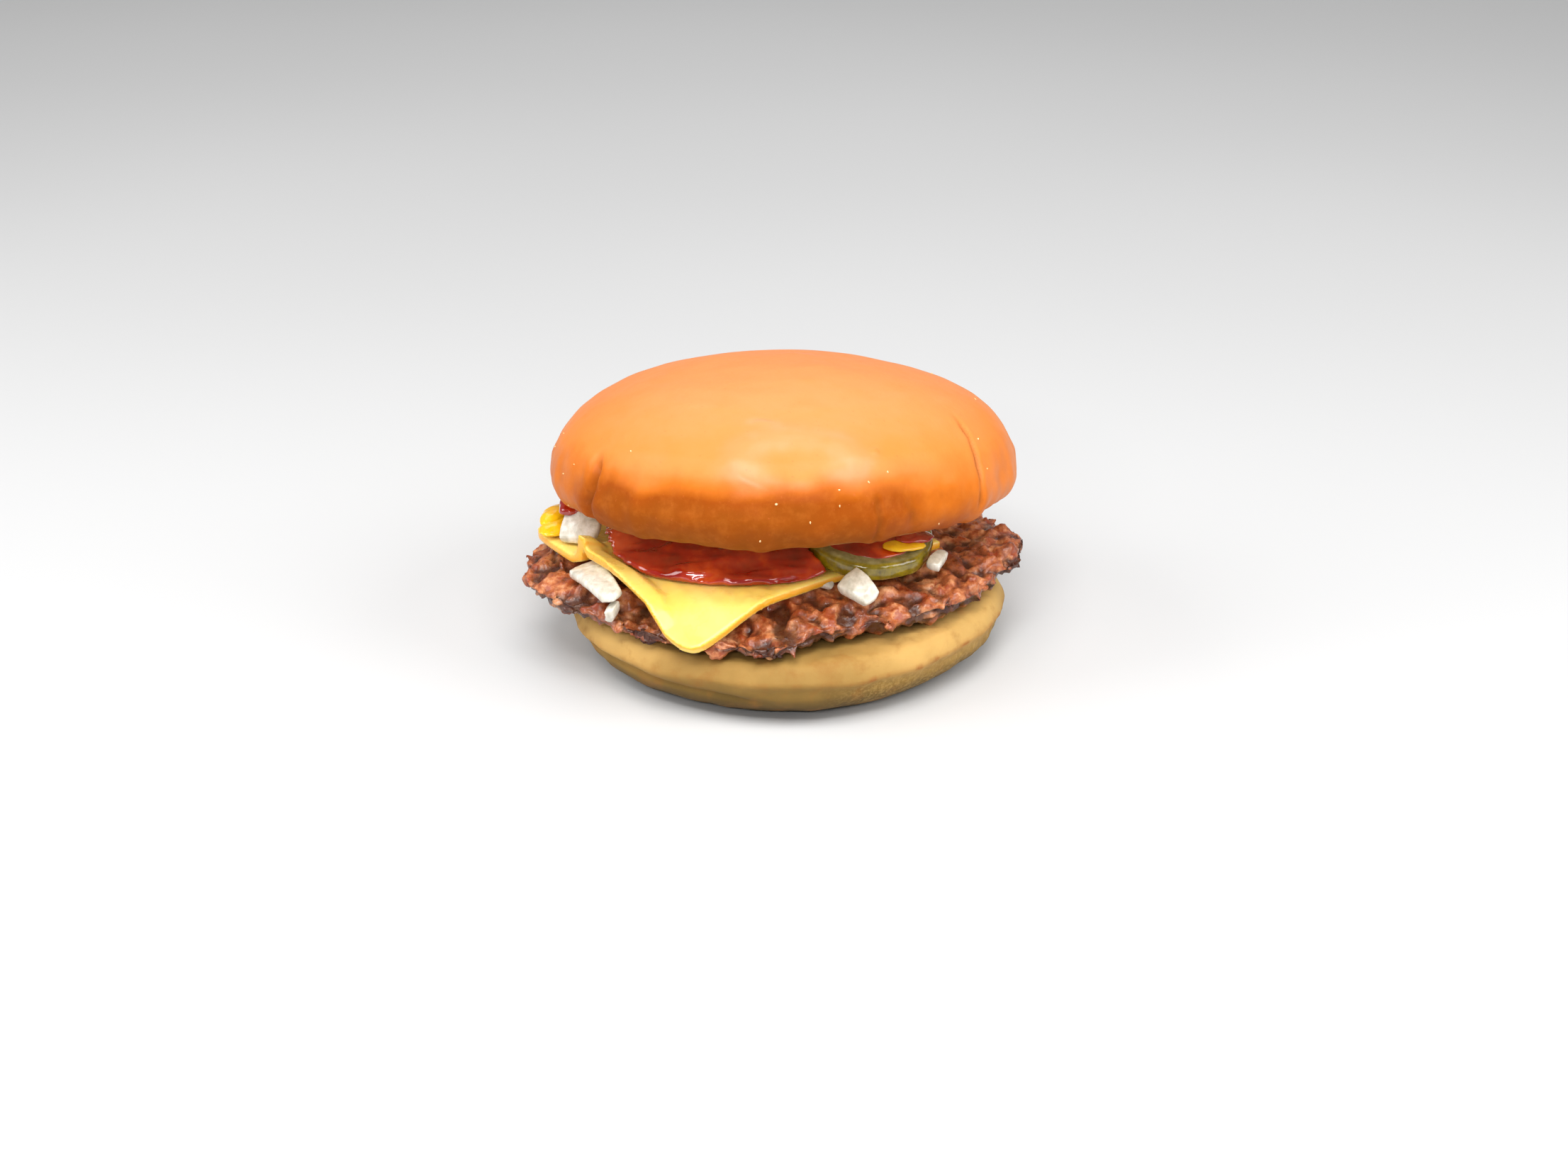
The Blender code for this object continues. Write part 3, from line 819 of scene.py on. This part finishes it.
def smear(name, centre, size, turn, seed, finish, slot):
    """A thin uneven patch of sauce."""
    ball = bmesh.new()
    bmesh.ops.create_icosphere(ball, subdivisions=4, radius=MM)
    made = from_bmesh(name, ball)
    points, _ = read(made)
    wave = 1 + 0.22 * noise_at(points, 0.7, seed, 2)
    points = (points * wave[:, None] * np.array(size) / 2) @ rotation(turn).T + np.array(centre)
    points[:, 2] += 0.3 * noise_at(points, 2.2, seed + 1, 2)
    write(made, points)
    return finish_piece(made, finish, slot)


def crumbs(finish):
    """Pale specks of bread caught on the crown."""
    graph = bpy.context.evaluated_depsgraph_get()
    specks = bmesh.new()
    for _ in range(CRUMB_TRIES):
        angle = RNG.uniform(0, math.tau)
        height = RNG.uniform(-14, 15)
        start = Vector((FAR_OUT * math.cos(angle), FAR_OUT * math.sin(angle), CROWN_HEIGHT + height)) * MM
        aim = Vector((*CROWN_MIDDLE, CROWN_HEIGHT + 0.4 * height)) * MM - start
        hit, place, _, _, thing, _ = bpy.context.scene.ray_cast(graph, start, aim.normalized())
        if not hit or thing.name != "crown_bun":
            continue
        size = RNG.uniform(*CRUMB_RADIUS) * MM
        shape = Matrix.Diagonal((RNG.uniform(0.7, 1.7), RNG.uniform(0.7, 1.5), RNG.uniform(0.5, 1.1), 1))
        spin = Matrix.Rotation(RNG.uniform(0, math.pi), 4, Vector((RNG.random(), RNG.random(), 1)))
        matrix = Matrix.Translation(place) @ spin @ shape
        bmesh.ops.create_icosphere(specks, subdivisions=1, radius=size, matrix=matrix)
    return finish_piece(from_bmesh("crumbs", specks), finish, "bun_side")


# ---- stage -----------------------------------------------------------------------------------------

# Half the floor's side, and the point that the lights aim at, in metres
FLOOR_REACH = 3.0
LIGHT_TARGET = Vector((0, 0, 0.035))
WORLD_STRENGTH = 0.2
# Name, azimuth from the front, elevation, distance, width and depth in metres, and power
SOFTBOXES = (
    ("key", 2, 64, 0.75, 0.56, 0.40, 4.6),
    ("strip", -8, 46, 0.75, 0.26, 0.06, 1.3),
    ("left", -80, 34, 0.8, 0.5, 0.5, 3.2),
    ("right", 68, 34, 0.8, 0.5, 0.5, 3.6),
    ("fill", -8, 27, 0.9, 0.44, 0.05, 2.1),
    ("back", 176, 45, 0.9, 0.9, 0.4, 1.6),
)
# The camera's height above the horizon, its distance in metres, the point it aims at, and its lens
CAMERA_ELEVATION = math.radians(24.5)
CAMERA_DISTANCE = 0.65
CAMERA_AIM = Vector((-0.001, 0, 0.012))
CAMERA_LENS, CAMERA_SENSOR = 67.6, 36.0


def floor():
    """A wide sheet of pale paper."""
    reach = FLOOR_REACH
    corners = [(-reach, -reach, 0), (reach, -reach, 0), (reach, reach, 0), (-reach, reach, 0)]
    mesh = bpy.data.meshes.new("floor")
    mesh.from_pydata(corners, [], [(0, 1, 2, 3)])
    made = link("floor", mesh)
    paper = Finish("floor_paper", 0.6, Specular_IOR_Level=0.2)
    paper.colour(paper.ramp(paper.noise(300, 1), (0.3, (0.60, 0.60, 0.60)), (0.7, (0.63, 0.63, 0.63))))
    made.data.materials.append(paper.material)


def world():
    """A dim white surround."""
    made = bpy.data.worlds.new("studio")
    made.use_nodes = True
    background = made.node_tree.nodes["Background"]
    background.inputs["Color"].default_value = (1, 1, 1, 1)
    background.inputs["Strength"].default_value = WORLD_STRENGTH
    bpy.context.scene.world = made


def softbox(name, azimuth, elevation, distance, width, depth, power):
    """A soft rectangular light that faces the burger."""
    light = bpy.data.lights.new(name, "AREA")
    light.shape = "RECTANGLE"
    light.size = width
    light.size_y = depth
    light.energy = power
    lamp = bpy.data.objects.new(name, light)
    bpy.context.scene.collection.objects.link(lamp)
    a, e = math.radians(azimuth), math.radians(elevation)
    out = Vector((math.sin(a) * math.cos(e), -math.cos(a) * math.cos(e), math.sin(e)))
    lamp.location = LIGHT_TARGET + out * distance
    lamp.rotation_euler = out.to_track_quat("Z", "Y").to_euler()


def camera():
    """A long lens that looks at the front from a little above."""
    lens = bpy.data.cameras.new("camera")
    lens.sensor_width = CAMERA_SENSOR
    lens.lens = CAMERA_LENS
    lens.clip_start = 0.01
    made = bpy.data.objects.new("camera", lens)
    bpy.context.scene.collection.objects.link(made)
    back = Vector((0, -math.cos(CAMERA_ELEVATION), math.sin(CAMERA_ELEVATION)))
    made.location = CAMERA_AIM + CAMERA_DISTANCE * back
    made.rotation_euler = (math.pi / 2 - CAMERA_ELEVATION, 0, 0)
    bpy.context.scene.camera = made


# ---- the burger ------------------------------------------------------------------------------------

crown()
heel()
patty()
cheese()
red = ketchup_finish()
ketchup(red)
yellow = mustard_finish()
for node in ("mustard_left", "mustard_right"):
    mustard(node, yellow)
pickle()
white = onion_finish()
for node in ("onion_left", "onion_strip", "onion_front", "onion_right"):
    onion(node, white)
scrap("onion_front", "onion_scrap_left", (-37.0, -32.6, 21.4), (0.36, 0.5, 0.7), (60, 20, 75), white, "onion")
scrap("onion_front", "onion_scrap_right", (7.6, -27.2, 25.5), (0.42, 0.4, 0.4), (0, 0, 30), white, "onion")
smear("pickle_sauce", (16.6, -14.2, 32.9), (25.6, 25.2, 2.6), (7.8, 6.2, 0), 91, red, "ketchup")
smear("right_sauce", (26.6, -19.4, 32.7), (9.0, 5.0, 2.2), (7, 6, 30), 92, red, "ketchup")
smear("left_sauce", (-46.4, -4.6, 33.8), (6.5, 9.0, 4.0), (0, 0, -15), 93, red, "ketchup")
smear("mustard_spread", (-50.6, -4.2, 28.6), (6.4, 9.6, 2.4), (0, 0, -20), 95, yellow, "mustard")
crumbs(crumb_finish())

bpy.context.scene.view_settings.view_transform = "Standard"
floor()
world()
for box in SOFTBOXES:
    softbox(*box)
camera()
